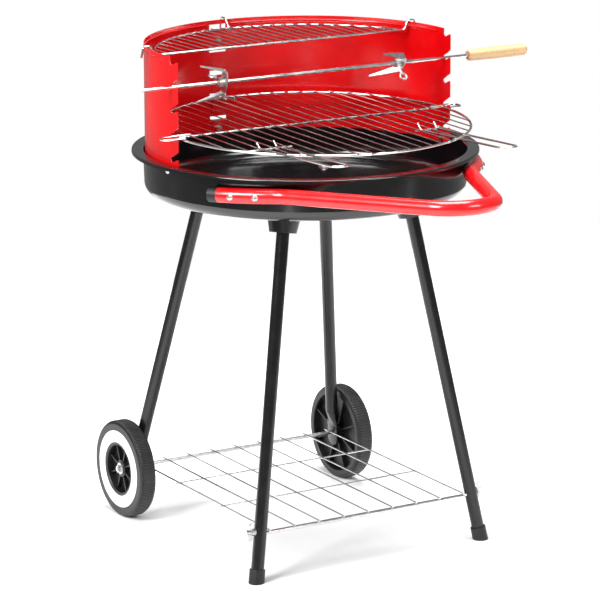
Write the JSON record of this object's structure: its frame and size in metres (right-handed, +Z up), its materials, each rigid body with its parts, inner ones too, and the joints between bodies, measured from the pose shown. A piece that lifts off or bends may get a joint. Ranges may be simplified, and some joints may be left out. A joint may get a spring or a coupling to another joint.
{
  "type": "barrel charcoal grill",
  "caption": "Round charcoal grill on splayed legs with a half-round notched windshield, wire grates, a hand-turned spit, a bowed push handle, a wire shelf and wheels.",
  "frame": {"origin": "on the floor, in the middle of the bounding box's bottom face", "axes": "+Z up, +X along the spit towards its wooden grip, -Y towards the push handle and the open front"},
  "size_m": [0.68, 0.7467, 0.7567],
  "materials": {
    "red_enamel": "gloss porcelain enamel",
    "black_enamel": "gloss porcelain enamel",
    "red_powder_coat": "gloss powder coat on steel tube",
    "black_powder_coat": "satin powder coat on steel",
    "chrome_wire": "bright chromed wire",
    "zinc_steel": "bright zinc plate",
    "black_plastic": "moulded, satin",
    "white_plastic": "moulded, smooth",
    "beech": "turned and lightly waxed"
  },
  "bodies": {
    "grill_frame": {"bowl": "black_enamel", "windshield_left": "red_enamel", "windshield_right": "red_enamel", "windshield_bolts": "zinc_steel", "windshield_nuts": "zinc_steel", "leg_socket_front_left": "black_powder_coat", "leg_socket_front_right": "black_powder_coat", "leg_socket_rear_left": "black_powder_coat", "leg_socket_rear_right": "black_powder_coat", "socket_bolts": "zinc_steel", "socket_washers": "zinc_steel", "socket_nuts": "zinc_steel", "leg_front_left": "black_powder_coat", "leg_front_right": "black_powder_coat", "leg_rear_left": "black_powder_coat", "leg_rear_right": "black_powder_coat", "foot_cap_left": "black_plastic", "foot_cap_right": "black_plastic", "axle": "zinc_steel", "hub_washers": "zinc_steel", "hub_nuts": "zinc_steel", "shelf_rack": "chrome_wire", "wing_nut_left": "zinc_steel", "wing_nut_right": "zinc_steel", "push_handle": "red_powder_coat", "handle_cap_left": "black_plastic", "handle_cap_right": "black_plastic", "handle_screws": "zinc_steel", "handle_nuts": "zinc_steel"},
    "cooking_grate": {"main_grate": "chrome_wire"},
    "lift_handle_left": {"lifting_handle_left": "chrome_wire"},
    "lift_handle_right": {"lifting_handle_right": "chrome_wire"},
    "rack": {"warming_rack": "chrome_wire"},
    "spit": {"spit_rod": "chrome_wire", "spit_grip": "beech"},
    "fork_left": {"fork_left": "zinc_steel"},
    "fork_right": {"fork_right": "zinc_steel"},
    "thumbscrew_left": {"fork_screw_left": "zinc_steel"},
    "thumbscrew_right": {"fork_screw_right": "zinc_steel"},
    "wheel_left": {"wheel_left": "black_plastic", "wheel_ring_left": "white_plastic"},
    "wheel_right": {"wheel_right": "black_plastic", "wheel_ring_right": "white_plastic"}
  },
  "joints": [
    {"name": "wheel_left_spin", "type": "hinge", "parent": "grill_frame", "child": "wheel_left", "pos_m": [-0.2395, 0.29859, 0.075], "axis": [1, 0, 0], "continuous": true},
    {"name": "wheel_right_spin", "type": "hinge", "parent": "grill_frame", "child": "wheel_right", "pos_m": [0.1535, 0.29859, 0.075], "axis": [1, 0, 0], "continuous": true},
    {"name": "grate_lift", "type": "slide", "parent": "grill_frame", "child": "cooking_grate", "axis": [0, -0.9272, 0.3746], "range_m": [0, 0.05]},
    {"name": "lift_handle_left_slide", "type": "slide", "parent": "cooking_grate", "child": "lift_handle_left", "axis": [0, 0.9998, 0.0209], "range_m": [0, 0.03]},
    {"name": "lift_handle_right_slide", "type": "slide", "parent": "cooking_grate", "child": "lift_handle_right", "axis": [0, 0.9998, 0.0209], "range_m": [0, 0.03]},
    {"name": "rack_lift", "type": "slide", "parent": "grill_frame", "child": "rack", "axis": [0, 0, 1], "range_m": [0, 0.06]},
    {"name": "spit_turn", "type": "hinge", "parent": "grill_frame", "child": "spit", "pos_m": [-0.043, 0.06653, 0.70853], "axis": [1, 0, 0], "continuous": true},
    {"name": "fork_left_slide", "type": "slide", "parent": "spit", "child": "fork_left", "axis": [1, 0, 0], "range_m": [-0.03, 0.1]},
    {"name": "fork_right_slide", "type": "slide", "parent": "spit", "child": "fork_right", "axis": [1, 0, 0], "range_m": [-0.1, 0.04]},
    {"name": "thumbscrew_left_turn", "type": "hinge", "parent": "fork_left", "child": "thumbscrew_left", "pos_m": [-0.199, 0.06653, 0.70853], "axis": [0, 0.9781, 0.2079], "continuous": true},
    {"name": "thumbscrew_right_turn", "type": "hinge", "parent": "fork_right", "child": "thumbscrew_right", "pos_m": [0.106, 0.06653, 0.70853], "axis": [0, -0.6947, -0.7193], "continuous": true}
  ]
}
